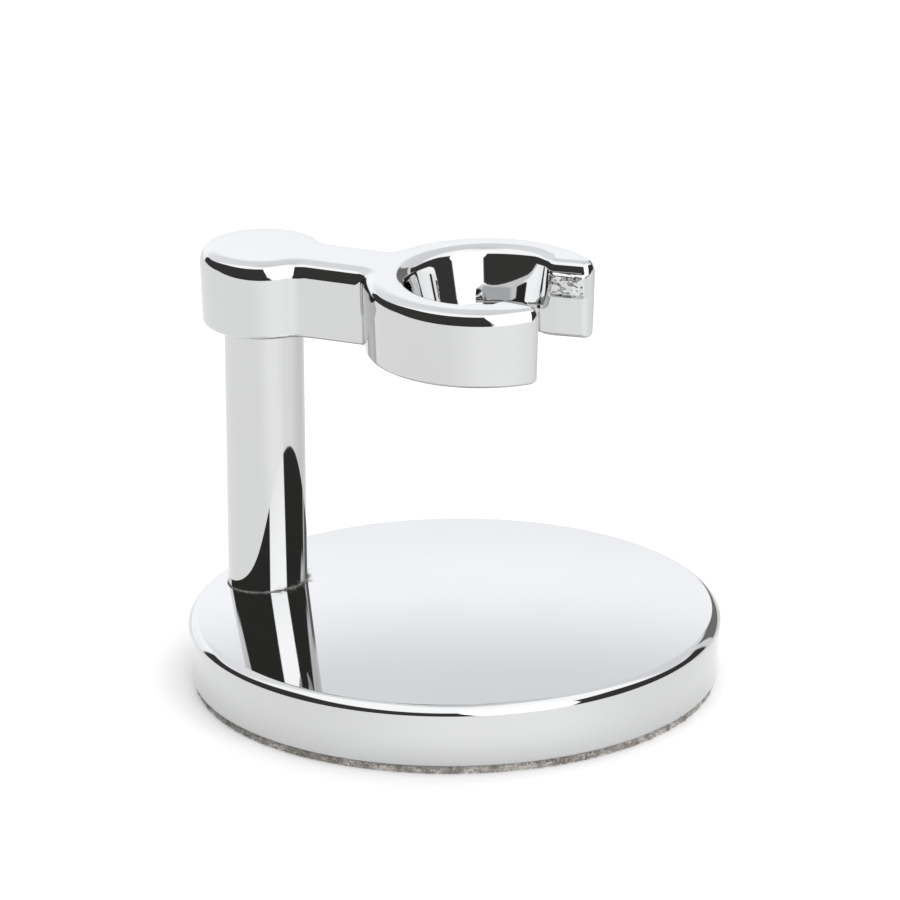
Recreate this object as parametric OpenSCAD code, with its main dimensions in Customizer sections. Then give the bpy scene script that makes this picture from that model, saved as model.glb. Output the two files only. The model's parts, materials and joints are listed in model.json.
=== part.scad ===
// Razor stand: a weighted round base, a round post near its rim and a cast head whose open
// fork holds a safety razor by its neck. A screw from below clamps the post to the base, a
// stud joins the post to the head, and a suede pad is glued under the base.
// Millimetres. +Z is up, z = 0 is the underside of the pad, x = y = 0 is the base's centre,
// and +X runs from the post towards the fork's open mouth. It is symmetric about y = 0.

/* [Base] */
// Diameter of the base at the top of its side wall
base_d = 65; // [62:0.5:80]
// Height of the straight side wall
side_h = 6.4; // [6.2:0.1:9]
// Draft of the side wall, narrower towards the floor
side_draft = 3.7; // [0:0.1:5]
// Radius of the rounded rim
rim_round = 1.4; // [0.8:0.1:2]
// Radius of the shallow dome on top of the base
dome_r = 360; // [250:10:800]

/* [Pad] */
// Thickness of the suede pad
pad_t = 0.95; // [0.6:0.05:2]
// Thickness of the adhesive film that holds the pad
film_t = 0.15; // [0.1:0.05:0.3]
// How far the pad stands back from the base's lower edge
pad_inset = 0.3; // [0.1:0.1:2]

/* [Post] */
// Diameter of the post
post_d = 9.7; // [9:0.1:11]
// Distance from the base's centre to the post's axis
post_offset = 24.8; // [20:0.1:25]
// Thickness of base left under the post's socket
socket_floor = 2; // [1.8:0.1:2.2]

/* [Head] */
// Height of the head's underside above the floor
head_z = 43.1; // [38:0.1:80]
// Thickness of the head
head_t = 9.7; // [9:0.1:12]
// Diameter of the boss over the post
boss_d = 15.4; // [14:0.1:16]
// Width of the neck between the boss and the fork
neck_w = 9.7; // [7:0.1:11]
// Distance from the post's axis to the centre of the fork's outline
arm_reach = 28.9; // [26:0.1:32]
// Outer diameter of the fork
fork_d = 29; // [27:0.1:32]
// Draft of the head's outer walls, narrower towards the bottom
head_draft = 1.8; // [0:0.1:3]
// Radius along the head's outer top edge
top_round = 1.2; // [0.5:0.1:1.5]
// Radius along the head's outer bottom edge
bottom_round = 0.75; // [0.3:0.05:1]

/* [Handle cradle] */
// Diameter of the bore that the razor's handle hangs through
cradle_d = 16.8; // [14:0.1:18]
// How far the cradle's axis lies from the fork's centre, away from the post
cradle_shift = 0.75; // [0:0.05:1.2]
// Width of the open mouth, measured at the cradle's axis
mouth_w = 13.1; // [11:0.1:14]
// Angle at which each wall of the mouth opens outwards
mouth_flare = 7; // [0:0.5:10]
// Radius of the fork's two tips, seen from above
tip_round = 1.4; // [1:0.1:1.6]
// Radius of the corner between the cradle and the mouth
lip_round = 4.5; // [3:0.1:5]
// Slope of the conical seat above the bore, from the vertical
seat_slope = 16; // [5:1:18]
// Depth at which the seat runs into the bore
seat_depth = 6.4; // [4:0.1:7]
// Radius along the seat's top edge
cradle_round = 1.7; // [0.5:0.1:1.8]

/* [Fasteners] */
// Thread size of the screw and the stud
thread_d = 4; // [3:1:4]
// Length of the screw under its head
screw_len = 12; // [11:0.5:13]
// Length of the stud between the post and the head
stud_len = 14; // [12:0.5:14]

/* [Hidden] */
$fn = 96;
ARC_STEPS = 8;
DOME_STEPS = 12;
SLACK = 0.05;         // radial clearance of a located part
OVERSHOOT = 1;        // how far a cutter runs past the face it opens

// Base, from the floor up
base_r = base_d / 2;
base_z = pad_t + film_t;
foot_r = base_r - side_h * tan(side_draft);
edge_break = 0.3;
dome_tilt = asin((base_r - rim_round) / (dome_r - rim_round));
rim_end = [base_r - rim_round + rim_round * sin(dome_tilt), side_h + rim_round * cos(dome_tilt)];
dome_centre_z = rim_end[1] - dome_r * cos(dome_tilt);
dome_top_z = base_z + dome_centre_z + dome_r;

// Screw stack below the post: low head, spring washer, flat washer
pitch = thread_d == 4 ? 0.7 : 0.5;
screw_head_d = thread_d * 1.75;
screw_head_h = thread_d * 0.7;
hex_af = thread_d * 0.625;
hex_depth = screw_head_h * 0.55;
spring_t = 0.9;
spring_d = thread_d * 1.9;
washer_t = 0.5;
washer_d = thread_d * 2;
head_gap = 0.3;       // screw head stays this far above the adhesive film
recess_d = washer_d + 0.6;
recess_h = head_gap + screw_head_h + spring_t + washer_t;
socket_z = base_z + recess_h + socket_floor;
screw_z = base_z + head_gap + screw_head_h;

// Post
post_x = -post_offset;
post_r = post_d / 2;
fibre_t = 0.3;        // washer in the bottom of the socket
post_z = socket_z + fibre_t;
post_len = head_z - post_z;
post_break = 0.2;
foot_hole = 10;
top_hole = stud_len / 2 + 1.5;
boss_hole = stud_len / 2 + 0.7;
hole_r = thread_d / 2 + SLACK;

// Head
head_top = head_z + head_t;
fork_x = post_x + arm_reach;
fork_r = fork_d / 2;
cradle_x = fork_x + cradle_shift;
cradle_r = cradle_d / 2;
mouth_end = fork_x + fork_r + OVERSHOOT;

// ---- Shared outlines ----

// Points on an arc about [cx, cy], from angle a0 to angle a1
function arc(cx, cy, r, a0, a1, n = ARC_STEPS) =
    [for (i = [0:n]) let (a = a0 + (a1 - a0) * i / n) [cx + r * cos(a), cy + r * sin(a)]];

// Half width at the head's bottom round, for a wall whose half width is w at the top round
function drafted(w) = w - (head_t - top_round - bottom_round) * tan(head_draft);

// Right half of the head's section: drafted wall with a rounded top and bottom edge
function wall_half(w) = concat(
    arc(drafted(w) - bottom_round, bottom_round, bottom_round, -90, 0),
    arc(w - top_round, head_t - top_round, top_round, 0, 90));

function mirrored(points) = [for (i = [len(points) - 1:-1:0]) [-points[i][0], points[i][1]]];

// Thread drawn as separate ridges, one for each pitch
module ridged_rod(length) {
    crest = thread_d / 2;
    root = crest - 0.61 * pitch;
    turns = floor(length / pitch);
    step = length / turns;
    ridges = [for (i = [0:turns - 1]) each [[root, i * step], [crest, (i + 0.5) * step]]];
    rotate_extrude() polygon(concat([[0, 0]], ridges, [[root, length], [0, length]]));
}

module ring(outer_d, inner_d, h) {
    difference() {
        cylinder(d = outer_d, h = h);
        translate([0, 0, -OVERSHOOT]) cylinder(d = inner_d, h = h + 2 * OVERSHOOT);
    }
}

// ---- Base ----

// Disc with a drafted side, a rounded rim and a domed top; recess and socket for the post
module base_disc() {
    outline = concat(
        [[0, 0], [foot_r - edge_break, 0], [foot_r, edge_break]],
        arc(base_r - rim_round, side_h, rim_round, 0, 90 - dome_tilt),
        arc(0, dome_centre_z, dome_r, 90 - dome_tilt, 90, DOME_STEPS));
    color("gainsboro")
    difference() {
        translate([0, 0, base_z]) rotate_extrude($fn = 180) polygon(outline);
        translate([post_x, 0, 0]) {
            translate([0, 0, socket_z])
                cylinder(r = post_r + SLACK, h = dome_top_z - socket_z + OVERSHOOT);
            translate([0, 0, base_z]) cylinder(r = thread_d / 2 + 0.25, h = dome_top_z);
            translate([0, 0, base_z - OVERSHOOT]) cylinder(d = recess_d, h = recess_h + OVERSHOOT);
        }
    }
}

// Suede disc that the stand rests on
module base_pad() {
    color("rosybrown") cylinder(r = foot_r - pad_inset, h = pad_t, $fn = 180);
}

// Thin film between the suede and the metal
module pad_adhesive() {
    color("dimgray")
    translate([0, 0, pad_t]) cylinder(r = foot_r - pad_inset - 0.1, h = film_t, $fn = 180);
}

// ---- Fasteners under the post ----

// Low-head socket screw, driven up through the base into the post
module base_screw() {
    color("darkgray")
    translate([post_x, 0, screw_z]) {
        ridged_rod(screw_len);
        translate([0, 0, -screw_head_h])
        difference() {
            cylinder(d = screw_head_d, h = screw_head_h);
            translate([0, 0, -OVERSHOOT])
                cylinder(d = hex_af / cos(30), h = hex_depth + OVERSHOOT, $fn = 6);
        }
    }
}

// Spring washer with its split
module base_spring_washer() {
    split = 0.8;
    color("slategray")
    translate([post_x, 0, screw_z])
    difference() {
        ring(spring_d, thread_d + 0.2, spring_t);
        translate([0, -split / 2, -OVERSHOOT]) cube([spring_d, split, spring_t + 2 * OVERSHOOT]);
    }
}

module base_flat_washer() {
    color("lightgray")
    translate([post_x, 0, screw_z + spring_t]) ring(washer_d, thread_d + 0.3, washer_t);
}

// Fibre washer that the post's foot presses into the socket
module post_fibre_washer() {
    color("peru")
    translate([post_x, 0, socket_z]) ring(post_d - 0.2, thread_d + 0.3, fibre_t);
}

// ---- Post ----

// Round bar with a blind threaded hole in each end
module post() {
    outline = [[0, 0], [post_r - post_break, 0], [post_r, post_break],
               [post_r, post_len - post_break], [post_r - post_break, post_len], [0, post_len]];
    color("silver")
    translate([post_x, 0, post_z])
    difference() {
        rotate_extrude() polygon(outline);
        translate([0, 0, -OVERSHOOT]) cylinder(r = hole_r, h = foot_hole + OVERSHOOT);
        translate([0, 0, post_len - top_hole]) cylinder(r = hole_r, h = top_hole + OVERSHOOT);
    }
}

// Headless threaded stud, half in the post and half in the head
module head_stud() {
    color("darkgray") translate([post_x, 0, head_z - stud_len / 2]) ridged_rod(stud_len);
}

// ---- Head ----

// Round body with the head's drafted and rounded section
module head_drum(x, r) {
    translate([x, 0, head_z])
        rotate_extrude($fn = 144) polygon(concat([[0, 0]], wall_half(r), [[0, head_t]]));
}

// Bar between the boss and the cradle with the same section
module head_neck() {
    translate([post_x, 0, head_z])
    rotate([90, 0, 90])
    linear_extrude(height = arm_reach)
        polygon(concat(wall_half(neck_w / 2), mirrored(wall_half(neck_w / 2))));
}

// The wall of the mouth on the +Y side: a point on it, its direction and its normal
wall_point = [cradle_x, mouth_w / 2];
wall_along = [cos(mouth_flare), sin(mouth_flare)];
wall_normal = [-sin(mouth_flare), cos(mouth_flare)];

// Centre of a round of radius r that touches the wall and lies rho from the axis at x
function corner_centre(x, rho, r) =
    let (start = wall_point + r * wall_normal,
         from_axis = start - [x, 0],
         b = from_axis * wall_along,
         c = from_axis * from_axis - rho * rho)
    start + (sqrt(b * b - c) - b) * wall_along;

// What a facetted round of radius r takes off the corner between the wall and the circle
// about x. The cut's outline runs clear of both faces, so that it crosses them cleanly.
module corner_offcut(x, circle_r, centre, r, sides) {
    clear = 0.1;
    corner = corner_centre(x, circle_r, 0);
    on_circle = [x, 0] + (centre - [x, 0]) * circle_r / norm(centre - [x, 0]);
    difference() {
        polygon([on_circle + clear * (on_circle - centre) / r,
                 corner + 0.4 * (corner - centre),
                 centre - (r + clear) * wall_normal]);
        translate(centre) rotate(mouth_flare - 90) circle(r = 1.01 * r, $fn = sides);
    }
}

// Plan of what is cut away to open the fork, on the +Y side
module mouth_half() {
    polygon([[cradle_x, -OVERSHOOT], [mouth_end, -OVERSHOOT],
             wall_point + (mouth_end - cradle_x) / wall_along[0] * wall_along, wall_point]);
    tip = corner_centre(fork_x, fork_r - tip_round, tip_round);
    corner_offcut(fork_x, fork_r, tip, tip_round, 12);
    lip = corner_centre(cradle_x, cradle_r + lip_round, lip_round);
    corner_offcut(cradle_x, cradle_r, lip, lip_round, 36);
}

// What is turned out above the bore: the conical seat and the round along its top edge
module cradle_seat() {
    seat_rise = seat_depth - cradle_round * (1 - sin(seat_slope));
    edge_r = cradle_r + seat_rise * tan(seat_slope) + cradle_round * cos(seat_slope);
    translate([cradle_x, 0, head_top])
        rotate_extrude($fn = 144) polygon(concat(
            [[0, -seat_depth], [cradle_r, -seat_depth]],
            arc(edge_r, -cradle_round, cradle_round, 180 - seat_slope, 90),
            [[edge_r, OVERSHOOT], [0, OVERSHOOT]]));
}

// One casting: boss over the post, neck, and the open fork
module holder_head() {
    color("whitesmoke")
    difference() {
        union() {
            head_drum(post_x, boss_d / 2);
            head_neck();
            head_drum(fork_x, fork_r);
        }
        translate([cradle_x, 0, head_z - OVERSHOOT])
            cylinder(r = cradle_r, h = head_t + 2 * OVERSHOOT, $fn = 144);
        cradle_seat();
        for (side = [0, 1]) mirror([0, side, 0])
            translate([0, 0, head_z - OVERSHOOT])
            linear_extrude(height = head_t + 2 * OVERSHOOT) mouth_half();
        translate([post_x, 0, head_z - OVERSHOOT]) cylinder(r = hole_r, h = boss_hole + OVERSHOOT);
    }
}

base_disc();
base_pad();
pad_adhesive();
base_screw();
base_spring_washer();
base_flat_washer();
post_fibre_washer();
post();
head_stud();
holder_head();
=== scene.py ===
"""Razor stand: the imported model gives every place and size, and this script gives it its looks.

Lengths in the shape functions are millimetres, in the frame of the CAD model; Piece turns them
into metres when it makes a mesh. Every chromed piece carries exact normals, because a mirror
shows the smallest error in them.
"""

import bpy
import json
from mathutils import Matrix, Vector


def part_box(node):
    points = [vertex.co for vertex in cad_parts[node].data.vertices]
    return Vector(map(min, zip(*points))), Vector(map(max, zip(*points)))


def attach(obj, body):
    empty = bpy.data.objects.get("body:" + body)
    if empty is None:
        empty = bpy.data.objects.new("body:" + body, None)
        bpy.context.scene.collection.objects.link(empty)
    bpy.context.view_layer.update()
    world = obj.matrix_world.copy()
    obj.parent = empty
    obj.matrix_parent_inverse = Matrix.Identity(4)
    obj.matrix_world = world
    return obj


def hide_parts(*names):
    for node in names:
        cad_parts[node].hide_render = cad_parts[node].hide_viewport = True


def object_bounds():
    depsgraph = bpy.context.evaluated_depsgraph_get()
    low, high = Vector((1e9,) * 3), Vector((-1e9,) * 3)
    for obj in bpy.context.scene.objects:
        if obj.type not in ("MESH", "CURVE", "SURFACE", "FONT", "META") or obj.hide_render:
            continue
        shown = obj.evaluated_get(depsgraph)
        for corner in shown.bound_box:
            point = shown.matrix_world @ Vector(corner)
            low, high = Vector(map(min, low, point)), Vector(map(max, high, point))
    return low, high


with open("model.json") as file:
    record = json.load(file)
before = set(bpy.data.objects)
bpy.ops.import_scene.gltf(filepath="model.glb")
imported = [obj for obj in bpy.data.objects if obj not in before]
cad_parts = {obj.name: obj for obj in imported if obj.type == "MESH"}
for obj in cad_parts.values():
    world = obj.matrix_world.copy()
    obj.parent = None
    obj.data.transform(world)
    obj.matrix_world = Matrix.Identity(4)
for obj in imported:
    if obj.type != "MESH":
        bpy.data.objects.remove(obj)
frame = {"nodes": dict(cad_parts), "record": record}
CAD_BOX = [list(corner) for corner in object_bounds()]

import json
import math
import random

import bpy
import numpy as np
from mathutils import Matrix, Vector
from mathutils.geometry import delaunay_2d_cdt

MM = 0.001
TAU = 2 * math.pi

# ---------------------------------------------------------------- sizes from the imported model


def box_mm(node):
    """Lowest and highest corner of a CAD node, in millimetres."""
    low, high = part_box(node)
    return np.array(low) / MM, np.array(high) / MM


disc_low, disc_high = box_mm("base_disc")
post_low, post_high = box_mm("post")
head_low, head_high = box_mm("holder_head")
pad_low, pad_high = box_mm("base_pad")
film_low, film_high = box_mm("pad_adhesive")
washer_low = box_mm("post_fibre_washer")[0]
flat_low, flat_high = box_mm("base_flat_washer")
cradle = next(m for m in frame["record"]["mounts"] if m["name"] == "handle_cradle")

BASE_R = disc_high[0]
BASE_Z = disc_low[2]
DOME_TOP = disc_high[2]
POST_X = (post_low[0] + post_high[0]) / 2
POST_R = (post_high[0] - post_low[0]) / 2
HEAD_Z = head_low[2]
HEAD_T = head_high[2] - head_low[2]
BOSS_R = POST_X - head_low[0]
FORK_R = head_high[1]
CRADLE_X = cradle["pos_m"][0] / MM

# Shapes the boxes can't give. They are as in the CAD source, but for the rim's radii and tilts,
# the neck's half width and the blends, which were fitted to the looks
SIDE_DRAFT, DOME_R = 3.7, 360.0
RIM_SIDE, RIM_MIDDLE, RIM_TOP = 0.9, 2.3, 0.9
RIM_LOW_TILT, RIM_HIGH_TILT = 31.0, 52.0
EDGE_BREAK = 0.3
SOCKET_R = POST_R + 0.05
SOCKET_EDGE = 0.12
SCREW_HOLE_R = 2.25
STUD_HOLE_R = 2.05
STUD_HOLE_DEPTH = 7.7
POST_HOLE_FOOT, POST_HOLE_HEAD = 10.0, 8.5
RECESS_PLAY = 0.3
POST_EDGE = 0.2
NECK_HALF, ARM_REACH = 4.6, 28.9
CRADLE_R = 8.4
MOUTH_HALF, MOUTH_FLARE = 6.55, 7.0
TIP_ROUND, LIP_ROUND = 1.4, 4.5
BOSS_BLEND, FORK_BLEND = 2.7, 1.5
FORK_X = POST_X + ARM_REACH

# Section of the head's skin along its plan: radius where it leaves the flat top, radius over
# the edge, radius of the crowned wall below it, tilt of the wall's upper part, draft of its
# lower part, radius along the bottom
BOSS_SKIN = (6.0, 0.85, 2.7, -1.8, 1.8, 0.75)
NECK_SKIN = (6.0, 0.85, 2.8, -1.8, 1.8, 0.75)
FORK_SKIN = (5.0, 0.85, 2.1, -1.8, 1.8, 0.75)
TIP_SKIN = (1.6, 0.8, 2.2, -2.5, 3.5, 0.6)
MOUTH_SKIN = (1.6, 1.0, 2.4, -1.0, 1.0, 0.6)
CRADLE_SKIN = (1.9, 1.7, 2.0, 16.0, 1.8, 0.5)
LIP_SKIN = (1.8, 1.5, 2.1, 11.0, 1.5, 0.55)
# Degrees of arc over which the section changes before the lip and after the tip
LIP_FADE, TIP_FADE = 16, 24
# Tilts at which one radius gives way to the next, and depth and height of the bend under the seat
EDGE_TILT, CROWN_TILT = 78.0, 31.0
SEAT_DEPTH, SEAT_BLEND = 6.4, 1.2

# ---------------------------------------------------------------- mesh building


def unit(angle):
    """Unit vector at an angle in degrees."""
    return np.array([math.cos(math.radians(angle)), math.sin(math.radians(angle))])


class Piece:
    """A closed mesh in the making, whose faces carry a normal at each corner."""

    def __init__(self):
        self.points, self.faces, self.normals = [], [], []

    def ring(self, points):
        """Adds points and returns their numbers."""
        start = len(self.points)
        self.points.extend(tuple(p) for p in points)
        return list(range(start, start + len(points)))

    def face(self, corners, normals):
        self.faces.append(tuple(corners))
        self.normals.extend(tuple(n) for n in normals)

    def strip(self, low, high, low_normals, high_normals):
        """Quads between two closed rings, counter-clockwise seen from outside."""
        n = len(low)
        for i in range(n):
            j = (i + 1) % n
            self.face(
                (low[i], low[j], high[j], high[i]),
                (low_normals[i], low_normals[j], high_normals[j], high_normals[i]),
            )

    def cap(self, loops, inner, height, normal, up, keep):
        """Fills a region between closed rings with triangles. Inner are more plan points, height
        and normal say where a plan point lies, and keep says whether a triangle's middle counts."""
        rings = [i for loop in loops for i in loop]
        plan = [Vector(self.points[i][:2]) for i in rings] + [Vector(p) for p in inner]
        edges, start = [], 0
        for loop in loops:
            n = len(loop)
            edges += [(start + i, start + (i + 1) % n) for i in range(n)]
            start += n
        out = delaunay_2d_cdt(plan, edges, [], 1, 1e-7)
        numbers = {}
        for new, sources in enumerate(out[3]):
            numbers[new] = rings[sources[0]] if sources and sources[0] < start else None
        for new, place in enumerate(out[0]):
            if numbers[new] is None:
                numbers[new] = self.ring([(place.x, place.y, height(place.x, place.y))])[0]
        for triangle in out[2]:
            corners = [out[0][i] for i in triangle]
            middle = sum(corners, Vector((0, 0))) / 3
            if not keep(middle.x, middle.y):
                continue
            turn = (corners[1] - corners[0]).cross(corners[2] - corners[0])
            if (turn > 0) != up:
                triangle, corners = list(reversed(triangle)), list(reversed(corners))
            self.face(
                [numbers[i] for i in triangle], [normal(c.x, c.y) for c in corners]
            )

    def make(self, name, material):
        mesh = bpy.data.meshes.new(name)
        mesh.from_pydata([tuple(c * MM for c in p) for p in self.points], [], self.faces)
        for polygon in mesh.polygons:
            polygon.use_smooth = True
        mesh.normals_split_custom_set([tuple(n) for n in self.normals])
        mesh.update()
        mesh.materials.append(material)
        obj = bpy.data.objects.new(name, mesh)
        bpy.context.scene.collection.objects.link(obj)
        return obj


def circle(r, z, x=0.0, n=192):
    """Points of a circle about the vertical line at x."""
    turn = np.arange(n) * TAU / n
    height = z(x + r * np.cos(turn), r * np.sin(turn)) if callable(z) else np.full(n, z)
    return np.stack([x + r * np.cos(turn), r * np.sin(turn), height], 1)


def leaning(n, elevation):
    """Normals of a turned surface whose normal lies at that elevation in degrees."""
    turn = np.arange(n) * TAU / n
    flat = math.cos(math.radians(elevation))
    rise = np.full(n, math.sin(math.radians(elevation)))
    return np.stack([flat * np.cos(turn), flat * np.sin(turn), rise], 1)


def turned(piece, profile, x=0.0, n=192):
    """Turns a profile about the vertical line at x. Each row is radius, height and the normal's
    elevation below and above that ring. Returns the first and the last ring."""
    rings = [piece.ring(circle(r, z, x, n)) for r, z, under, over in profile]
    for i in range(1, len(rings)):
        low_normals, high_normals = leaning(n, profile[i - 1][3]), leaning(n, profile[i][2])
        piece.strip(rings[i - 1], rings[i], low_normals, high_normals)
    return rings[0], rings[-1]


def rounded(r, z, radius, start, end, steps):
    """Profile rows of a round about the point r, z, from one normal elevation to another."""
    rows = []
    for i in range(steps + 1):
        angle = start + (end - start) * i / steps
        out = unit(angle)
        rows.append((r + radius * out[0], z + radius * out[1], angle, angle))
    return rows


def bent(parts):
    """Rows of inset, height and normal elevation up a wall that bends with a radius of its own
    between one elevation and the next."""
    inset, z, rows = 0.0, 0.0, []
    for start, end, radius, steps in parts:
        for i in range(0 if not rows else 1, steps + 1):
            angle = start + (end - start) * i / steps
            flat = math.cos(math.radians(start)) - math.cos(math.radians(angle))
            rise = math.sin(math.radians(angle)) - math.sin(math.radians(start))
            rows.append((inset + radius * flat, z + radius * rise, angle))
        inset, z = rows[-1][:2]
    return rows


def hex_grid(step, reach):
    """Plan points of a triangular grid about the origin."""
    height_to_side = 0.866
    rows = int(reach / (step * height_to_side)) + 1
    points = []
    for j in range(-rows, rows + 1):
        shift = 0.5 * step * (j % 2)
        for i in range(-rows, rows + 1):
            points.append((i * step + shift, j * step * height_to_side))
    return points


def disc_grid(reach, step):
    """Plan points in rings about the origin."""
    points = []
    for r in np.arange(0, reach, step):
        count = max(1, int(TAU * r / step))
        points += [tuple(r * unit(360 * i / count)) for i in range(count)]
    return points


def flat_caps(piece, top, high, bottom, low, inner):
    """Closes a disc with flat faces over its top ring and its bottom ring."""
    for ring, z, up in ((top, high, True), (bottom, low, False)):
        piece.cap([ring], inner, lambda x, y, z=z: z,
                  lambda x, y, up=up: (0, 0, 1 if up else -1), up, lambda x, y: True)


def clear_of(points, loop, gap):
    """The points further than gap from every point of a loop."""
    points, loop = np.array(points), np.array(loop)[:, :2]
    far = [np.min(np.hypot(*(loop - p).T)) > gap for p in points]
    return [tuple(p) for p, f in zip(points, far) if f]


# ---------------------------------------------------------------- base

DOME_CENTRE_Z = DOME_TOP - DOME_R


def dome(x, y):
    """Height of the base's top over a plan point."""
    return DOME_CENTRE_Z + np.sqrt(DOME_R**2 - x * x - y * y)


def dome_normal(x, y):
    """Unit normal of the base's top over a plan point."""
    return (x / DOME_R, y / DOME_R, math.sqrt(DOME_R**2 - x * x - y * y) / DOME_R)


def base_disc(material):
    """Domed disc with its rim, the post's socket and the screw's recess underneath."""
    n, m = 288, 96
    grid_step, clearance = 1.6, 0.8
    tilt = math.degrees(math.acos((BASE_R - RIM_TOP) / DOME_R))
    rim = bent([(-SIDE_DRAFT, RIM_LOW_TILT, RIM_SIDE, 8), (RIM_LOW_TILT, RIM_HIGH_TILT, RIM_MIDDLE, 8),
                (RIM_HIGH_TILT, tilt, RIM_TOP, 8)])
    widest = min(inset for inset, z, angle in rim)
    rim = [(BASE_R - inset + widest, z, angle, angle) for inset, z, angle in rim]
    lift = dome(rim[-1][0], 0) - rim[-1][1]
    rim = [(r, z + lift, under, over) for r, z, under, over in rim]
    foot = rim[0][0] - (rim[0][1] - BASE_Z - EDGE_BREAK) * math.tan(math.radians(SIDE_DRAFT))
    piece = Piece()
    under, top = turned(
        piece,
        [
            (foot - EDGE_BREAK, BASE_Z, -90, -50),
            (foot - EDGE_BREAK * 0.3, BASE_Z + EDGE_BREAK * 0.28, -45, -45),
            (foot, BASE_Z + EDGE_BREAK, -SIDE_DRAFT, -SIDE_DRAFT),
        ]
        + rim,
        n=n,
    )
    # socket for the post, hole for the screw and the recess below, turned about the post's axis
    mouth_r = SOCKET_R + SOCKET_EDGE
    mouth = piece.ring(circle(mouth_r, dome, POST_X, m))
    low, low_normals = mouth, [dome_normal(*piece.points[i][:2]) for i in mouth]
    steps = 4
    for step in range(1, steps + 1):
        angle = 90 - 90 * step / steps
        inward = leaning(m, angle) * (-1, -1, 1)
        sink = SOCKET_EDGE * (1 - math.sin(math.radians(angle)))
        r = mouth_r - SOCKET_EDGE * math.cos(math.radians(angle))
        ring = piece.ring(circle(r, lambda x, y: dome(x, y) - sink, POST_X, m))
        piece.strip(low, ring, low_normals, inward)
        low, low_normals = ring, inward
    inward = leaning(m, 0) * (-1, -1, 1)
    floor_z, recess_z = washer_low[2], flat_high[2]
    recess_r = (flat_high[0] - flat_low[0]) / 2 + RECESS_PLAY
    for r, z, first, second in (
        (SOCKET_R, floor_z, "in", "in"),
        (SCREW_HOLE_R, floor_z, "up", "up"),
        (SCREW_HOLE_R, recess_z, "in", "in"),
        (recess_r, recess_z, "down", "down"),
        (recess_r, BASE_Z, "in", "in"),
    ):
        kinds = {"in": inward, "up": leaning(m, 90), "down": leaning(m, -90)}
        ring = piece.ring(circle(r, z, POST_X, m))
        piece.strip(low, ring, kinds[first], kinds[second])
        low = ring
    grid = []
    for r in np.arange(0, BASE_R - 3, grid_step):
        count = max(1, int(TAU * r / grid_step))
        shift = 0.5 * (int(r * 10) % 2)
        grid += [tuple(r * unit(360 * (i + shift) / count)) for i in range(count)]

    def outside(r):
        return lambda x, y: math.hypot(x - POST_X, y) > r

    loop = [piece.points[i] for i in mouth]
    inner = [p for p in clear_of(grid, loop, clearance) if outside(mouth_r)(*p)]
    piece.cap([top, mouth], inner, dome, dome_normal, True, outside(mouth_r))
    loop = [piece.points[i] for i in low]
    inner = [p for p in clear_of(grid, loop, clearance) if outside(recess_r)(*p)]
    piece.cap(
        [under, low], inner, lambda x, y: BASE_Z, lambda x, y: (0, 0, -1), False,
        outside(recess_r),
    )
    return piece.make("base_disc_chromed", material)


# ---------------------------------------------------------------- post


def post(material):
    """Polished bar with its edges broken and a threaded hole in each end."""
    n = 144
    low_z, high_z = post_low[2], post_high[2]
    piece = Piece()
    side = [(POST_R, z, 0, 0) for z in np.linspace(low_z + 3, high_z - 3, 9)]
    profile = (
        [(STUD_HOLE_R, low_z, -90, -90)]
        + rounded(POST_R - POST_EDGE, low_z + POST_EDGE, POST_EDGE, -90, 0, 5)
        + side
        + rounded(POST_R - POST_EDGE, high_z - POST_EDGE, POST_EDGE, 0, 90, 5)
        + [(STUD_HOLE_R, high_z, 90, 90)]
    )
    bottom, top = turned(piece, profile, POST_X, n)
    inward = leaning(n, 0) * (-1, -1, 1)
    for rim, z, end in ((bottom, low_z + POST_HOLE_FOOT, -90), (top, high_z - POST_HOLE_HEAD, 90)):
        ring = piece.ring(circle(STUD_HOLE_R, z, POST_X, n))
        middle = piece.ring([(POST_X, 0, z)])[0]
        if end < 0:
            piece.strip(ring, rim, inward, inward)
        else:
            piece.strip(rim, ring, inward, inward)
        for i in range(n):
            j = (i + 1) % n
            corners = (ring[j], ring[i], middle) if end < 0 else (ring[i], ring[j], middle)
            piece.face(corners, [(0, 0, math.copysign(1, end))] * 3)
    return piece.make("post_chromed", material)


# ---------------------------------------------------------------- head


def smooth(t):
    """Eases a share from 0 to 1, level at both ends."""
    t = min(max(t, 0.0), 1.0)
    return t * t * (3 - 2 * t)


def round_on_wall(x, rho, r):
    """Centre of a round of radius r on the mouth's wall, rho from the vertical axis at x."""
    along = unit(MOUTH_FLARE)
    normal = np.array([-along[1], along[0]])
    start = np.array([CRADLE_X - x, MOUTH_HALF]) + r * normal
    b = start @ along
    return np.array([x, 0]) + start + (math.sqrt(b * b - start @ start + rho * rho) - b) * along


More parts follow.
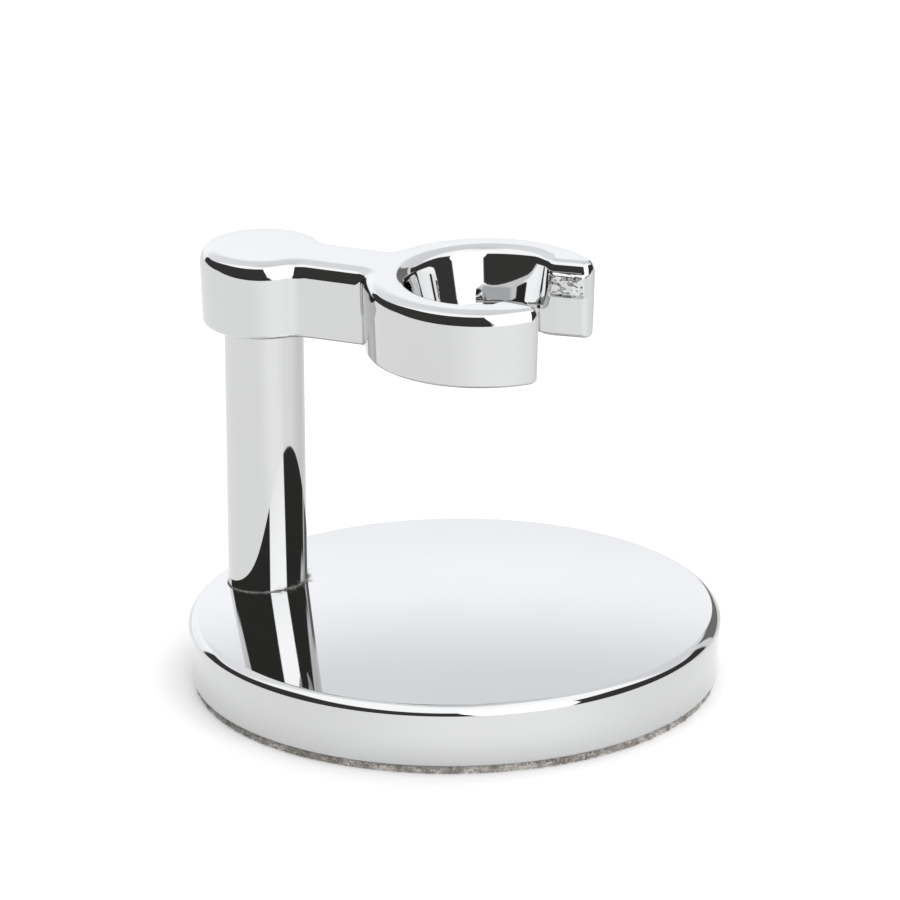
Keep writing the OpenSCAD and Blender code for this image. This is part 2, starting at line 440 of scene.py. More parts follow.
def head_outline():
    """The +Y half of the head's plan, from the cradle's closed end to the boss's far end. Each row
    is x, y, the outward normal's x and y, and the skin's section there."""
    rows = []

    def blend(skins, t):
        return [a + (b - a) * smooth(t) for a, b in zip(*skins)]

    def arc(centre, r, a0, a1, facing, skins, step=0.42, least=4):
        count = max(least, int(abs(math.radians(a1 - a0)) * r / step))
        for i in range(count + 1):
            out = unit(a0 + (a1 - a0) * i / count)
            rows.append((*(np.array(centre) + r * out), *(facing * out), *blend(skins, i / count)))

    def line(start, end, normal, skins, step=0.5):
        count = max(2, int(np.hypot(*(end - start)) / step))
        for i in range(1, count):
            rows.append((*(start + (end - start) * i / count), *normal, *blend(skins, i / count)))

    def angle_of(p, centre_x):
        return math.degrees(math.atan2(p[1], p[0] - centre_x))

    lip = round_on_wall(CRADLE_X, CRADLE_R + LIP_ROUND, LIP_ROUND)
    tip = round_on_wall(FORK_X, FORK_R - TIP_ROUND, TIP_ROUND)
    down = unit(MOUTH_FLARE - 90)
    fork_h, boss_h = NECK_HALF + FORK_BLEND, NECK_HALF + BOSS_BLEND
    at_fork = np.array([FORK_X - math.sqrt((FORK_R + FORK_BLEND) ** 2 - fork_h**2), fork_h])
    at_boss = np.array([POST_X + math.sqrt((BOSS_R + BOSS_BLEND) ** 2 - boss_h**2), boss_h])
    lip_angle, tip_angle = angle_of(lip, CRADLE_X), angle_of(tip, FORK_X)
    fork_angle, boss_angle = angle_of(at_fork, FORK_X), angle_of(at_boss, POST_X)
    near_lip, past_tip = lip_angle + LIP_FADE, tip_angle + TIP_FADE
    arc((CRADLE_X, 0), CRADLE_R, 180, near_lip, -1, (CRADLE_SKIN, CRADLE_SKIN))
    arc((CRADLE_X, 0), CRADLE_R, near_lip, lip_angle, -1, (CRADLE_SKIN, LIP_SKIN))
    arc(lip, LIP_ROUND, lip_angle + 180, 270 + MOUTH_FLARE, 1, (LIP_SKIN, MOUTH_SKIN), 0.3, 8)
    line(lip + LIP_ROUND * down, tip + TIP_ROUND * down, down, (MOUTH_SKIN, MOUTH_SKIN))
    arc(tip, TIP_ROUND, MOUTH_FLARE - 90, tip_angle, 1, (MOUTH_SKIN, TIP_SKIN), 0.14, 16)
    arc((FORK_X, 0), FORK_R, tip_angle, past_tip, 1, (TIP_SKIN, FORK_SKIN))
    arc((FORK_X, 0), FORK_R, past_tip, fork_angle, 1, (FORK_SKIN, NECK_SKIN))
    arc(at_fork, FORK_BLEND, fork_angle + 180, 270, -1, (NECK_SKIN, NECK_SKIN), 0.1, 10)
    line(np.array([at_fork[0], NECK_HALF]), np.array([at_boss[0], NECK_HALF]), (0, 1),
         (NECK_SKIN, NECK_SKIN))
    arc(at_boss, BOSS_BLEND, 270, boss_angle + 180, -1, (NECK_SKIN, BOSS_SKIN), 0.1, 8)
    arc((POST_X, 0), BOSS_R, boss_angle, 180, 1, (BOSS_SKIN, BOSS_SKIN))
    kept = [rows[0]]
    for row in rows[1:]:
        if math.hypot(row[0] - kept[-1][0], row[1] - kept[-1][1]) > 1e-4:
            kept.append(row)
    return kept


def skin_levels(skins):
    """Inset, height and normal elevation of each level up the head's skin, for every section."""
    shoulder, top, crown, seat, draft, bottom = (skins[:, i] for i in range(6))
    seat, draft = np.radians(seat), np.radians(draft)
    turn, edge = math.radians(CROWN_TILT), math.radians(EDGE_TILT)
    crown_z = (HEAD_T - shoulder * (1 - math.sin(edge)) - top * (math.sin(edge) - math.sin(turn))
               - crown * (math.sin(turn) - np.sin(seat)))
    seat_z = HEAD_T - SEAT_DEPTH - SEAT_BLEND / 2
    foot_z = bottom * (1 - np.sin(draft))
    levels, steps = [], 8
    for i in range(steps + 1):
        angle = -math.pi / 2 + (math.pi / 2 - draft) * i / steps
        inset = bottom * (np.cos(draft) - np.cos(angle))
        levels.append((inset, bottom + bottom * np.sin(angle), angle))
    for t in (1 / 3, 2 / 3, 1):
        rise = (seat_z - foot_z) * t
        levels.append((-rise * np.tan(draft), foot_z + rise, -draft))
    inset = levels[-1][0]
    for i in range(steps):
        angle = -draft + (seat + draft) * (i + 1) / steps
        inset = inset + np.tan(angle - (seat + draft) / steps / 2) * SEAT_BLEND / steps
        levels.append((inset, seat_z + SEAT_BLEND * (i + 1) / steps + 0 * seat, angle))
    low_z = seat_z + SEAT_BLEND
    for t in (0.5, 1):
        rise = (crown_z - low_z) * t
        levels.append((inset + rise * np.tan(seat), low_z + rise, seat))
    for start, end, radius, count in (
        (seat, turn + 0 * seat, crown, 12), (turn + 0 * seat, edge + 0 * seat, top, 10),
        (edge + 0 * seat, math.pi / 2 + 0 * seat, shoulder, 8),
    ):
        inset, z = levels[-1][:2]
        for i in range(1, count + 1):
            angle = start + (end - start) * i / count
            levels.append((inset + radius * (np.cos(start) - np.cos(angle)),
                           z + radius * (np.sin(angle) - np.sin(start)), angle))
    widest = np.min([level[0] for level in levels], axis=0)
    return [(inset - widest, z, angle) for inset, z, angle in levels]


def holder_head(material):
    """Cast head: one skin round its plan, with flat faces above and below."""
    half = head_outline()
    other = [(row[0], -row[1], row[2], -row[3], *row[4:]) for row in half[-2:0:-1]]
    plan = np.array(half + other)
    place, out = plan[:, :2], plan[:, 2:4]
    levels = skin_levels(plan[:, 4:])
    piece, rings = Piece(), []
    for inset, z, angle in levels:
        where = place - out * inset[:, None]
        points = np.column_stack([where, HEAD_Z + z])
        normals = np.column_stack([out * np.cos(angle)[:, None], np.sin(angle)])
        rings.append((piece.ring(points), normals))
    for (low, low_n), (high, high_n) in zip(rings, rings[1:]):
        piece.strip(low, high, low_n, high_n)
    m = 64
    grid_step, grid_reach, clearance = 1.1, 36, 0.55
    rim = piece.ring(circle(STUD_HOLE_R, HEAD_Z, POST_X, m))
    end_z = HEAD_Z + STUD_HOLE_DEPTH
    end = piece.ring(circle(STUD_HOLE_R, end_z, POST_X, m))
    inward = leaning(m, 0) * (-1, -1, 1)
    piece.strip(end, rim, inward, inward)
    middle = piece.ring([(POST_X, 0, end_z)])[0]
    for i in range(m):
        piece.face((end[(i + 1) % m], end[i], middle), [(0, 0, -1)] * 3)

    def inside(loop):
        xs, ys = np.array([piece.points[i][:2] for i in loop]).T
        xn, yn = np.roll(xs, -1), np.roll(ys, -1)

        def test(x, y):
            crosses = (ys > y) != (yn > y)
            with np.errstate(divide="ignore", invalid="ignore"):
                at = xs + (y - ys) * (xn - xs) / (yn - ys)
            return bool(np.sum(crosses & (x < at)) % 2)

        return test

    grid = [(x + (POST_X + FORK_X) / 2, y) for x, y in hex_grid(grid_step, grid_reach)]
    for ring, z, up in ((rings[-1][0], HEAD_Z + HEAD_T, True), (rings[0][0], HEAD_Z, False)):
        test = inside(ring)
        loops = [ring] if up else [ring, rim]
        inner = [p for p in grid if test(*p)]
        for loop in loops:
            inner = clear_of(inner, [piece.points[i] for i in loop], clearance)
        if not up:
            inner = [p for p in inner if math.hypot(p[0] - POST_X, p[1]) > STUD_HOLE_R]

        def keep(x, y, test=test, up=up):
            return test(x, y) and (up or math.hypot(x - POST_X, y) > STUD_HOLE_R)

        piece.cap(loops, inner, lambda x, y, z=z: z,
                  lambda x, y, up=up: (0, 0, 1 if up else -1), up, keep)
    return piece.make("holder_head_chromed", material)


# ---------------------------------------------------------------- suede pad and its film

# The pad's cut edge: shares of its height, depth of its two waves, and its place inside the rim
NAP_LEVELS = (0.0, 0.02, 0.1, 0.22, 0.34, 0.46, 0.58, 0.7, 0.8, 0.88, 0.95, 1.0)
CLUMP_DEPTH, NAP_DEPTH = 0.11, 0.09
NAP_BACK, NAP_BULGE = 0.34, 0.1
NAP_DEEPEST, NAP_PROUDEST, NAP_UNDERCUT = -0.6, -0.02, 0.12
# Fibres along it, and the least distance of a fibre's line from the pad's two faces
PAD_FIBRES, FIBRE_MARGIN, FIBRE_PROUD = 5200, 0.05, 0.12
FOOT_RING_FIBRES, FOOT_LOOSE_FIBRES = 260, 90


def waves(seed, count, low, high):
    """A seeded random sum of waves along an angle and a height, from -1 to 1 or so."""
    rng = np.random.default_rng(seed)
    radius = 34  # about the pad's, so that no wave climbs faster than the shortest one runs along it
    turns = rng.integers(low, high, count)
    climb = rng.uniform(-1, 1, count) * high / radius
    phase = rng.uniform(0, TAU, count)
    size = rng.uniform(0.4, 1, count)
    size /= math.sqrt(np.sum(size**2) / 2)

    def at(angle, z):
        angle, z = np.asarray(angle)[..., None], np.asarray(z)[..., None]
        return np.sum(size * np.sin(turns * angle + climb * z + phase), -1) / 2

    return at


def base_pad(material):
    """Suede disc: a nap of clumps along its cut edge, flat where it carries the stand."""
    n = 1500
    r_edge, height = pad_high[0], pad_high[2] - pad_low[2]
    clumps = waves(seed=11, count=40, low=90, high=420)
    nap = waves(seed=12, count=60, low=420, high=n)
    turn = np.arange(n) * TAU / n
    piece, rings = Piece(), []
    for share in NAP_LEVELS:
        z = share * height
        rough = CLUMP_DEPTH * clumps(turn, z) + NAP_DEPTH * nap(turn, z)
        bulge = NAP_BULGE * math.sin(math.pi * share) - NAP_BACK
        frayed = np.clip(bulge + rough, NAP_DEEPEST, NAP_PROUDEST)
        r = r_edge + (frayed - (NAP_UNDERCUT if share in (0.0, 1.0) else 0))
        points = [r * np.cos(turn), r * np.sin(turn), np.full(n, pad_low[2] + z)]
        rings.append(piece.ring(np.column_stack(points)))
    flat = leaning(n, 0)
    for low, high in zip(rings, rings[1:]):
        piece.strip(low, high, flat, flat)
    flat_caps(piece, rings[-1], pad_high[2], rings[0], pad_low[2], disc_grid(r_edge - 1.2, 1.5))
    obj = piece.make("base_pad_suede", material)
    # the rough edge takes its shading from the mesh itself, not from set normals
    obj.data.normals_split_custom_set([(0, 0, 0)] * len(obj.data.loops))
    return obj


def fibre(piece, path, radius):
    """A closed three-sided fibre along a path, thin at both ends."""
    path = np.array(path)
    askew = (0.3, 0.2, 0.93)
    rings = []
    for i, p in enumerate(path):
        ahead = path[min(i + 1, len(path) - 1)] - path[max(i - 1, 0)]
        ahead = ahead / (np.linalg.norm(ahead) + 1e-9)
        side = np.cross(ahead, askew)
        side = side / (np.linalg.norm(side) + 1e-9)
        over = np.cross(ahead, side)
        width = radius * (0.45 + 0.55 * math.sin(math.pi * (i + 0.5) / len(path)))
        ring = [p + width * (side * unit(a)[0] + over * unit(a)[1]) for a in (90, 210, 330)]
        rings.append(piece.ring(ring))
    zero = [(0, 0, 0)] * 3
    for low, high in zip(rings, rings[1:]):
        piece.strip(low, high, zero, zero)
    piece.face(reversed(rings[0]), zero)
    piece.face(rings[-1], zero)


def pad_fibres(material):
    """Loose fibres along the pad's cut edge, lying every way."""
    rng = random.Random(7)
    piece = Piece()
    r_edge, height = pad_high[0], pad_high[2] - pad_low[2]
    lowest, highest = pad_low[2] + FIBRE_MARGIN, pad_high[2] - FIBRE_MARGIN
    for _ in range(PAD_FIBRES):
        angle = rng.uniform(0, TAU)
        z = pad_low[2] + height * (0.06 + 0.88 * rng.random())
        r = r_edge - rng.uniform(0.1, 0.42)
        heading, length = rng.gauss(0, 0.9), rng.uniform(0.25, 0.85)
        out = rng.uniform(-0.15, 0.3)
        curl = rng.gauss(0, 1.2)
        path = []
        for i in range(4):
            t = length * (i / 3 - 0.5)
            bend = heading + curl * t
            q = min(r + out * t + 0.05 * math.sin(9 * t), r_edge + FIBRE_PROUD)
            a = angle + t * math.cos(bend) / r_edge
            h = min(max(z + t * math.sin(bend), lowest), highest)
            path.append((q * math.cos(a), q * math.sin(a), h))
        fibre(piece, path, rng.uniform(0.018, 0.05))
    return piece.make("base_pad_fibres", material)


def pad_film(material):
    """Adhesive film between the suede and the metal, with a soft edge."""
    r, low, high = film_high[0], film_low[2], film_high[2]
    half = (high - low) / 2
    piece = Piece()
    bottom, top = turned(piece, rounded(r - half, (low + high) / 2, half, -90, 90, 8), n=288)
    flat_caps(piece, top, high, bottom, low, disc_grid(r - 2, 3.0))
    return piece.make("pad_film", material)


def foot_fibres(material):
    """Frayed edge of the fibre washer, squeezed up round the post's foot."""
    rng = random.Random(3)
    piece = Piece()

    def add(angle, spread, rise, length, radius, away):
        path = []
        swing, lift = rng.gauss(0, 0.25), rng.uniform(-0.2, 1.0)
        for i in range(6):
            t = i / 5
            a = angle + spread * length * (t - 0.5) / POST_R
            q = POST_R + 0.05 + away * t + swing * 0.12 * math.sin(math.pi * t)
            x, y = POST_X + q * math.cos(a), q * math.sin(a)
            path.append((x, y, dome(x, y) + 0.03 + rise * (0.3 + 0.7 * t * lift)))
        fibre(piece, path, radius)

    for i in range(FOOT_RING_FIBRES):
        angle = TAU * (i + rng.random()) / FOOT_RING_FIBRES
        add(angle, 1, 0.1 * rng.random(), rng.uniform(0.5, 1.2), rng.uniform(0.025, 0.045),
            0.07 * rng.random())
    for _ in range(FOOT_LOOSE_FIBRES):
        angle = math.radians(rng.gauss(-5, 38))
        add(angle, rng.uniform(-1, 1), rng.uniform(0.1, 0.55), rng.uniform(0.4, 1.3),
            rng.uniform(0.01, 0.022), abs(rng.gauss(0, 0.35)))
    return piece.make("foot_fibres", material)


# ---------------------------------------------------------------- materials


class Nodes:
    """Short calls for the nodes of one material or world."""

    def __init__(self, owner):
        owner.use_nodes = True
        self.tree = owner.node_tree
        self.tree.nodes.clear()

    def add(self, kind, **settings):
        node = self.tree.nodes.new(kind)
        for name, value in settings.items():
            setattr(node, name, value)
        return node

    def link(self, source, target):
        self.tree.links.new(source, target)

    def put(self, value, socket):
        if isinstance(value, bpy.types.NodeSocket):
            self.link(value, socket)
        else:
            socket.default_value = value

    def math(self, operation, a, b=0.0):
        node = self.add("ShaderNodeMath", operation=operation)
        self.put(a, node.inputs[0])
        self.put(b, node.inputs[1])
        return node.outputs[0]

    def ease(self, value, low, high, to_low=0.0, to_high=1.0):
        node = self.add("ShaderNodeMapRange", interpolation_type="SMOOTHSTEP")
        for i, v in enumerate((value, low, high, to_low, to_high)):
            self.put(v, node.inputs[i])
        return node.outputs[0]

    def mix(self, share, a, b):
        node = self.add("ShaderNodeMix", data_type="RGBA")
        self.put(share, node.inputs[0])
        self.put(a, node.inputs[6])
        self.put(b, node.inputs[7])
        return node.outputs[2]

    def noise(self, scale, detail=2.0, roughness=0.5):
        node = self.add("ShaderNodeTexNoise")
        node.inputs["Scale"].default_value = scale
        node.inputs["Detail"].default_value = detail
        node.inputs["Roughness"].default_value = roughness
        self.link(self.place(), node.inputs["Vector"])
        return node.outputs["Fac"]

    def place(self):
        return self.add("ShaderNodeTexCoord").outputs["Object"]

    def bump(self, height, strength, distance, normal=None):
        node = self.add("ShaderNodeBump")
        node.inputs["Strength"].default_value = strength
        node.inputs["Distance"].default_value = distance
        self.link(height, node.inputs["Height"])
        if normal is not None:
            self.link(normal, node.inputs["Normal"])
        return node.outputs["Normal"]

    def shader(self, **values):
        node = self.add("ShaderNodeBsdfPrincipled")
        for name, value in values.items():
            self.put(value, node.inputs[name.replace("_", " ")])
        output = self.add("ShaderNodeOutputMaterial")
        self.link(node.outputs[0], output.inputs["Surface"])
        return node


def grey(value, warm=0.0):
    """Linear grey, a little warmer or cooler."""
    return (value * (1 + warm), value, value * (1 - warm), 1)


def cast_texture(nodes, normal):
    """The plating over the upper walls of the mouth, which polishing hardly reached."""
    split = nodes.add("ShaderNodeSeparateXYZ")
    nodes.link(nodes.place(), split.inputs[0])
    x, y, z = split.outputs
    top = HEAD_Z + HEAD_T
    lumps = nodes.noise(600, detail=2, roughness=0.5)
    # each row is what fades, from where to where, and the share at both
    for value, start, end, at_start, at_end in (
        (x, CRADLE_X + 4.6, CRADLE_X + 5.6, 0, 1),
        (x, FORK_X + 9.8, FORK_X + 10.6, 1, 0),
        (nodes.math("ABSOLUTE", y), 8.4, 9.0, 1, 0),
        (z, top - 4.6, top - 4.0, 0, 1),
        (z, top - 1.9, top - 1.3, 1, 0),
    ):
        share = nodes.ease(value, start * MM, end * MM, at_start, at_end)
        lumps = nodes.math("MULTIPLY", lumps, share)
    return nodes.bump(lumps, 1.0, 0.0006, normal)


def chrome(name, waviness, tone=0.58, cast=False):
    """Bright plating: a faint polish haze, its tone drifting slightly, and a slow waviness. A
    cast piece also has the rough patch of cast_texture."""
    material = bpy.data.materials.new(name)
    nodes = Nodes(material)
    haze = nodes.noise(420, detail=4, roughness=0.6)
    drift = nodes.noise(60, detail=2)
    darker, paler = grey(tone - 0.006, -0.004), grey(tone + 0.006, -0.008)
    colour = nodes.mix(nodes.ease(drift, 0.3, 0.7), darker, paler)
    roughness = nodes.ease(haze, 0.35, 0.8, 0.018, 0.045)
    slow = nodes.bump(nodes.noise(140, detail=1, roughness=0.4), 1.0, waviness)
    if cast:
        slow = cast_texture(nodes, slow)
    nodes.shader(Base_Color=colour, Metallic=1.0, Roughness=roughness, Normal=slow)
    return material


def steel(name, tone, warm, roughness, grain):
    """Plated or spring steel of the hidden fasteners, with a turned grain."""
    material = bpy.data.materials.new(name)
    nodes = Nodes(material)
    blotch = nodes.noise(900, detail=5, roughness=0.65)
    colour = nodes.mix(nodes.ease(blotch, 0.3, 0.7), grey(tone * 0.8, warm), grey(tone * 1.1, warm))
    rough = nodes.ease(nodes.noise(2400, detail=3), 0.3, 0.7, roughness - 0.08, roughness + 0.1)
    wave = nodes.add("ShaderNodeTexWave", wave_type="RINGS", rings_direction="Z")
    wave.inputs["Scale"].default_value = 2600
    wave.inputs["Distortion"].default_value = 1.5
    nodes.link(nodes.place(), wave.inputs["Vector"])
    nodes.shader(Base_Color=colour, Metallic=1.0, Roughness=rough,
                 Normal=nodes.bump(wave.outputs["Fac"], 0.5, grain))
    return material


def suede(name, light, dark):
    """Fibrous split leather: warm grey with pale fibres, and painted shade in the spaces between them.
    """
    material = bpy.data.materials.new(name)
    nodes = Nodes(material)
    clumps = nodes.noise(1500, detail=4, roughness=0.6)
    fine = nodes.noise(7000, detail=3, roughness=0.6)
    cells = nodes.add("ShaderNodeTexVoronoi", feature="F1")
    cells.inputs["Scale"].default_value = 4200
    nodes.link(nodes.place(), cells.inputs["Vector"])
    # painted shade: darker towards the edges of the cells, for the shade between the fibres
    painted_gap_shade = nodes.ease(cells.outputs["Distance"], 0.2, 0.85)
    tone = nodes.mix(nodes.ease(clumps, 0.32, 0.68), dark, light)
    tone = nodes.mix(nodes.math("MULTIPLY", painted_gap_shade, 0.55), tone, grey(0.1, 0.12))
    tone = nodes.mix(nodes.ease(fine, 0.5, 0.75, 0.0, 0.5), tone, grey(0.62, 0.05))
    height = nodes.math("ADD", nodes.math("MULTIPLY", clumps, 0.6), nodes.math("MULTIPLY", fine, 0.4))
    nodes.shader(Base_Color=tone, Roughness=0.95, Normal=nodes.bump(height, 0.8, 0.00012),
                 Sheen_Weight=0.25, Sheen_Roughness=0.5)
    return material


def fibres(name, light, dark, scale):
    """Loose fibres, each a little lighter or darker."""
    material = bpy.data.materials.new(name)
    nodes = Nodes(material)
    strand = nodes.noise(scale, detail=2)
    tone = nodes.mix(nodes.ease(strand, 0.35, 0.65), dark, light)
    nodes.shader(Base_Color=tone, Roughness=0.85,
                 Normal=nodes.bump(nodes.noise(scale * 6, detail=2), 0.3, 0.00002))
    return material


def film(name):
    """Smooth grey-brown adhesive film with dust caught in its edge."""
    material = bpy.data.materials.new(name)
    nodes = Nodes(material)
    dust = nodes.noise(2600, detail=4, roughness=0.7)
    tone = nodes.mix(nodes.ease(dust, 0.4, 0.75), grey(0.2, 0.08), grey(0.42, 0.07))
    nodes.shader(Base_Color=tone, Roughness=nodes.ease(dust, 0.3, 0.7, 0.4, 0.6),
                 Normal=nodes.bump(dust, 0.3, 0.00003))
    return material


def fibre_board(name):
    """Pressed vulcanised fibre of the washer."""
    material = bpy.data.materials.new(name)
    nodes = Nodes(material)
    flecks = nodes.noise(1800, detail=5, roughness=0.7)
    tone = nodes.mix(nodes.ease(flecks, 0.35, 0.7), (0.28, 0.13, 0.08, 1), (0.42, 0.22, 0.13, 1))
    nodes.shader(Base_Color=tone, Roughness=0.8, Normal=nodes.bump(flecks, 0.5, 0.00004))
    return material


# ---------------------------------------------------------------- stage

# Degrees, metres from the middle of the model's box, and millimetres for the lens
CAMERA_AZIMUTH, CAMERA_ELEVATION, CAMERA_ROLL = 22.9, 20.36, -0.57
CAMERA_DISTANCE, CAMERA_RIGHT, CAMERA_UP = 1.336, -0.00034, 0.00303
CAMERA_LENS = 440.0


def camera_axes():
    """Unit vectors to the camera's right, up and back, before its roll."""
    a, e = math.radians(CAMERA_AZIMUTH), math.radians(CAMERA_ELEVATION)
    back = Vector((math.sin(a) * math.cos(e), -math.cos(a) * math.cos(e), math.sin(e)))
    right = Vector((math.cos(a), math.sin(a), 0))
    return right, back.cross(right), back


def make_camera():
    """Camera at the photograph's angle, aimed near the middle of the model's box."""
    right, up, back = camera_axes()
    low, high = (Vector(c) for c in CAD_BOX)
    place = (low + high) / 2 + CAMERA_RIGHT * right + CAMERA_UP * up + CAMERA_DISTANCE * back
    turn = math.radians(CAMERA_ROLL)
    across = math.cos(turn) * right + math.sin(turn) * up
    above = math.cos(turn) * up - math.sin(turn) * right
    data = bpy.data.cameras.new("camera")
    data.lens, data.sensor_width = CAMERA_LENS, 36.0
    data.clip_start, data.clip_end = 0.05, 20.0
    obj = bpy.data.objects.new("camera", data)
    bpy.context.scene.collection.objects.link(obj)
    obj.matrix_world = Matrix.Translation(place) @ Matrix((across, above, back)).transposed().to_4x4()
    bpy.context.scene.camera = obj


# Reaches and heights are metres here, angles are degrees and tones are strengths of light
FLOOR_GLOW, FLOOR_TONE = 0.14, 0.86
SUN_AZIMUTH, SUN_ELEVATION, SUN_SPREAD, SUN_POWER = 135.0, 38.0, 45.0, 0.42
TABLE_REACH, STAGE_REACH = 0.155, 2.4
CARD_INNER, CARD_FULL, CARD_HEIGHT = 0.0335, 0.042, 0.0003
DARK_TOP, DARK_SIDE_TOP, DARK_EDGE, DARK_TONE = 43.0, 22.0, 132.0, 0.055
SOFTBOX_LEFT, SOFTBOX_RIGHT, SOFTBOX_LOW, SOFTBOX_HIGH = 8.0, 49.0, 1.95, 2.6
CARPET_TONE, CARPET_LIT = 0.05, 1.75
WALL_TONE, CEILING_TONE, LEFT_TONE, LEFT_SHARE = 1.28, 1.6, 2.2, 0.12
# Bands of the back wall: from which elevation it turns to the tone, by which, and the tone
WALL_BANDS = ((11, 19, 1.41), (19.5, 30, 1.07), (60, 85, 1.0))


def round_plane(name, inner, outer, height, material):
    """Flat ring about the origin, finer near its middle."""
    rings, n = 26, 96
    points, faces = [], []
    for k in range(rings + 1):
        r = inner + (outer - inner) * (k / rings) ** 2
        points += [(*(r * unit(360 * i / n)), height) for i in range(n)]
    for k in range(rings):
        a, b = k * n, (k + 1) * n
        faces += [(a + i, b + i, b + (i + 1) % n, a + (i + 1) % n) for i in range(n)]
    mesh = bpy.data.meshes.new(name)
    mesh.from_pydata(points, [], faces)
    mesh.materials.append(material)
    obj = bpy.data.objects.new(name, mesh)
    bpy.context.scene.collection.objects.link(obj)
    return obj


def facing_camera(nodes, vector):
    """Coordinates of a vector to the camera's right, towards the camera and up, and its azimuth
    from the camera in degrees, + to the camera's right."""
    turn = nodes.add("ShaderNodeMapping", vector_type="POINT")
    turn.inputs["Rotation"].default_value = (0, 0, math.radians(90 - CAMERA_AZIMUTH))
    nodes.link(vector, turn.inputs["Vector"])
    split = nodes.add("ShaderNodeSeparateXYZ")
    nodes.link(turn.outputs[0], split.inputs[0])
    across, along, height = split.outputs[1], split.outputs[0], split.outputs[2]
    azimuth = nodes.math("MULTIPLY", nodes.math("ARCTAN2", across, along), 180 / math.pi)
    return across, along, height, azimuth


def make_floor():
    """White floor that glows a little, so that it stays white close to the stand."""
    material = bpy.data.materials.new("floor_white")
    nodes = Nodes(material)
    grain = nodes.noise(90, detail=3)
    tone = nodes.mix(grain, grey(FLOOR_TONE - 0.01), grey(FLOOR_TONE + 0.01))
    nodes.shader(Base_Color=tone, Roughness=0.7, Specular_IOR_Level=0.1,
                 Emission_Color=(1, 1, 1, 1), Emission_Strength=FLOOR_GLOW)
    round_plane("floor", 0.0, STAGE_REACH, 0.0, material)


def make_surround():
    """What the chrome sees of the floor further out, as a glowing card: the white table, and past its
    straight front edge the dark carpet. The softbox's pool of light on the carpet and the room's light
    on the table are painted into its glow. It shows in reflections only."""
    material = bpy.data.materials.new("surround")
    nodes = Nodes(material)
    across, along, _, azimuth = facing_camera(nodes, nodes.place())
    # painted light: the table's glow is brighter towards the softbox and dimmer further round on
    # either side
    table = nodes.ease(azimuth, -40, 8, 1.15, 1.31)
    table = nodes.math("SUBTRACT", table, nodes.ease(azimuth, 25, 62, 0, 0.14))
    table = nodes.math("SUBTRACT", table, nodes.ease(azimuth, 70, 140, 0, 0.26))
    table = nodes.math("SUBTRACT", table, nodes.ease(azimuth, -165, -110, 0.1, 0))
    # painted light: the softbox's pool of light on the carpet
    lit = nodes.math("MULTIPLY", nodes.ease(azimuth, SOFTBOX_LEFT - 1, SOFTBOX_LEFT + 5),
                     nodes.ease(azimuth, SOFTBOX_RIGHT - 1, SOFTBOX_RIGHT + 4, 1, 0))
    carpet = nodes.ease(lit, 0, 1, CARPET_TONE, CARPET_LIT)
    past = nodes.ease(along, TABLE_REACH - 0.001, TABLE_REACH + 0.001)
    strength = nodes.math("ADD", nodes.math("MULTIPLY", carpet, past),
                          nodes.math("MULTIPLY", table, nodes.math("SUBTRACT", 1.0, past)))
    emission = nodes.add("ShaderNodeEmission")
    nodes.link(strength, emission.inputs["Strength"])
    reach = nodes.math("SQRT", nodes.math(
        "ADD", nodes.math("MULTIPLY", across, across), nodes.math("MULTIPLY", along, along)))
    blend = nodes.add("ShaderNodeMixShader")
    nodes.link(nodes.ease(reach, CARD_INNER, CARD_FULL), blend.inputs[0])
    nodes.link(nodes.add("ShaderNodeBsdfTransparent").outputs[0], blend.inputs[1])
    nodes.link(emission.outputs[0], blend.inputs[2])
    output = nodes.add("ShaderNodeOutputMaterial")
    nodes.link(blend.outputs[0], output.inputs["Surface"])
    card = round_plane("surround", CARD_INNER, STAGE_REACH, CARD_HEIGHT, material)
    card.visible_camera = card.visible_diffuse = card.visible_shadow = False


def make_shadow_light():
    """Weak soft light from behind on the right, which only shades the floor and the suede."""
    light = bpy.data.lights.new("back_light", "SUN")
    light.energy, light.angle = SUN_POWER, math.radians(SUN_SPREAD)
    obj = bpy.data.objects.new("back_light", light)
    bpy.context.scene.collection.objects.link(obj)
    x, y = unit(CAMERA_AZIMUTH - 90 + SUN_AZIMUTH) * math.cos(math.radians(SUN_ELEVATION))
    source = Vector((x, y, math.sin(math.radians(SUN_ELEVATION))))
    obj.rotation_euler = source.to_track_quat("Z", "Y").to_euler()
    obj.visible_glossy = False


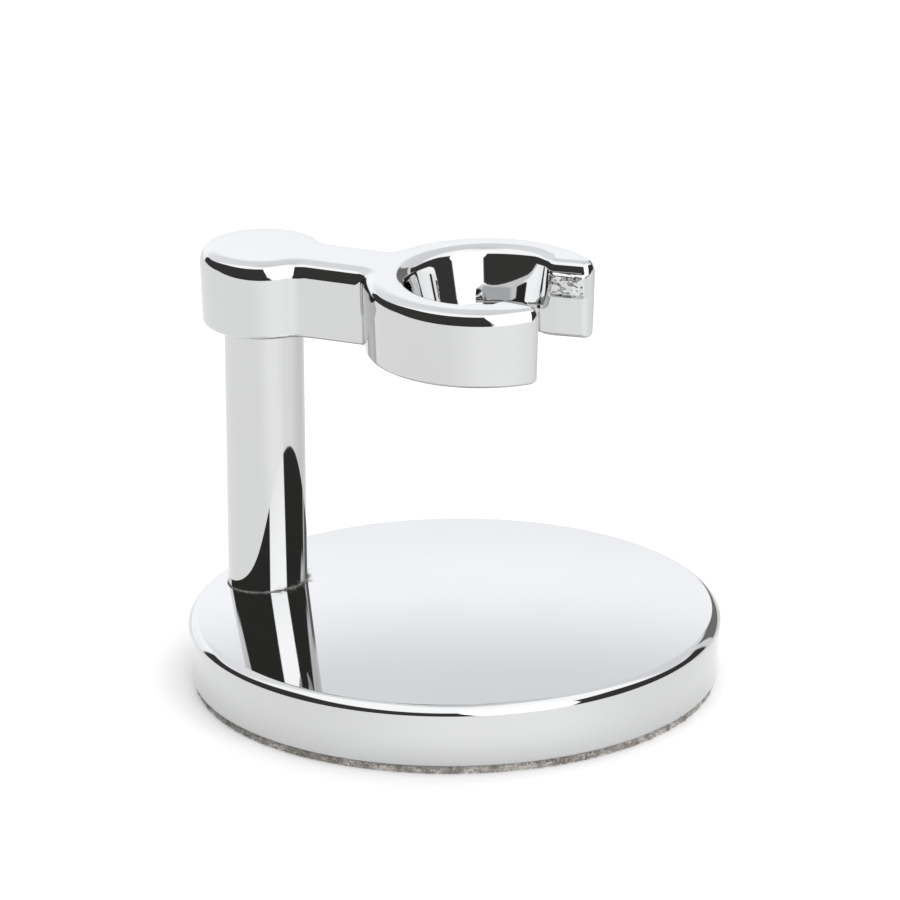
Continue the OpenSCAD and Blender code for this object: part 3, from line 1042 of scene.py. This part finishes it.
def make_world():
    """Studio seen from the object: a bright room, dark behind the camera, with one tall softbox.
    Azimuth 0 is towards the camera and + towards its right, in degrees, as is elevation."""
    world = bpy.data.worlds.new("studio")
    bpy.context.scene.world = world
    nodes = Nodes(world)
    direction = nodes.add("ShaderNodeTexCoord").outputs["Generated"]
    across, along, height, azimuth = facing_camera(nodes, direction)
    elevation = nodes.math("MULTIPLY", nodes.math("ARCSINE", height), 180 / math.pi)
    aside = nodes.math("ABSOLUTE", azimuth)

    def between(value, low, high, soft):
        rise = nodes.ease(value, low - soft, low + soft)
        fall = nodes.ease(value, high - soft, high + soft, 1.0, 0.0)
        return nodes.math("MULTIPLY", rise, fall)

    def patch(colour, paint, az0, az1, el0, el1, soft, soft_el=None):
        mask = nodes.math(
            "MULTIPLY", between(azimuth, az0, az1, soft),
            between(elevation, el0, el1, soft_el or soft),
        )
        return nodes.mix(mask, colour, paint)

    def light(value, warm=0.0):
        return (value * (1 + warm), value, value * (1 - 2 * warm), 1)

    # back wall, brightest low down and to the left, and dimmer towards the ceiling
    colour = light(WALL_TONE, -0.01)
    for low, high, value in WALL_BANDS:
        colour = nodes.mix(nodes.ease(elevation, low, high), colour, light(value, -0.012))
    slant = nodes.ease(across, -0.3, 0.05, LEFT_SHARE, 0.0)
    colour = nodes.mix(slant, colour, light(LEFT_TONE, -0.01))
    # the lit ceiling above the camera
    colour = patch(colour, light(CEILING_TONE), -108, 108, DARK_SIDE_TOP, 81, 8, 6)
    # a paler upright and a grey one beside the dark half, on the right
    colour = patch(colour, light(1.0), 128, 139, -2, 27, 1.5, 2)
    colour = patch(colour, light(0.23, 0.02), 139.5, 170, -2, 25.5, 1.5, 1.5)
    # the dark half of the room, lower at its sides
    top = nodes.ease(aside, 80, 125, DARK_TOP, DARK_SIDE_TOP)
    below = nodes.math("SUBTRACT", elevation, top)
    mask = nodes.math("MULTIPLY", nodes.ease(aside, DARK_EDGE - 1.5, DARK_EDGE + 1.5, 1, 0),
                      nodes.ease(below, -1.5, 1.5, 1, 0))
    colour = nodes.mix(mask, colour, light(DARK_TONE, 0.03))
    # the softbox, wider and brighter as it rises
    left = nodes.math("ADD", azimuth, nodes.ease(elevation, 0, 45, 0, 6))
    right = nodes.math("SUBTRACT", azimuth, nodes.ease(elevation, 0, 45, 1, 11))
    mask = nodes.math("MULTIPLY", nodes.ease(left, SOFTBOX_LEFT - 1.5, SOFTBOX_LEFT + 1.5),
                      nodes.ease(right, SOFTBOX_RIGHT - 1.5, SOFTBOX_RIGHT + 1.5, 1, 0))
    mask = nodes.math("MULTIPLY", mask, nodes.ease(elevation, 46, 64, 1, 0))
    glow = nodes.mix(nodes.ease(elevation, 5, 30), light(SOFTBOX_LOW), light(SOFTBOX_HIGH))
    colour = nodes.mix(mask, colour, glow)
    background = nodes.add("ShaderNodeBackground")
    nodes.link(colour, background.inputs["Color"])
    output = nodes.add("ShaderNodeOutputWorld")
    nodes.link(background.outputs[0], output.inputs["Surface"])
    bpy.context.scene.view_settings.view_transform = "Standard"


# ---------------------------------------------------------------- assembly

plating = chrome("chrome_cast", 0.000004, cast=True)
bar_plating = chrome("chrome_bar", 0.0000006)
base_plating = chrome("chrome_base", 0.0000008)
suede_material = suede("suede_grey", grey(0.78, 0.04), grey(0.24, 0.1))
fibre_material = fibres("suede_fibres", grey(0.93, 0.02), grey(0.34, 0.09), 500)
lint_material = fibres("fibre_lint", grey(0.5, 0.02), grey(0.25, 0.02), 1400)
film_material = film("adhesive_film")

disc = base_disc(base_plating)
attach(disc, "root")
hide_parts("base_disc")

bar = post(bar_plating)
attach(bar, "root")
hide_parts("post")

head = holder_head(plating)
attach(head, "root")
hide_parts("holder_head")

pad = base_pad(suede_material)
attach(pad, "root")
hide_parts("base_pad")

nap = pad_fibres(fibre_material)
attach(nap, "root")

glue = pad_film(film_material)
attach(glue, "root")
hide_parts("pad_adhesive")

lint = foot_fibres(lint_material)
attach(lint, "root")

zinc = steel("zinc_plated_steel", 0.55, 0.01, 0.35, 0.00001)
spring = steel("spring_steel_blued", 0.22, -0.05, 0.4, 0.000008)
board = fibre_board("vulcanised_fibre")
for node, material in (
    ("base_screw", zinc),
    ("base_flat_washer", zinc),
    ("head_stud", zinc),
    ("base_spring_washer", spring),
    ("post_fibre_washer", board),
):
    mesh = frame["nodes"][node].data
    mesh.materials.clear()
    mesh.materials.append(material)

make_floor()
make_surround()
make_shadow_light()
make_world()
make_camera()
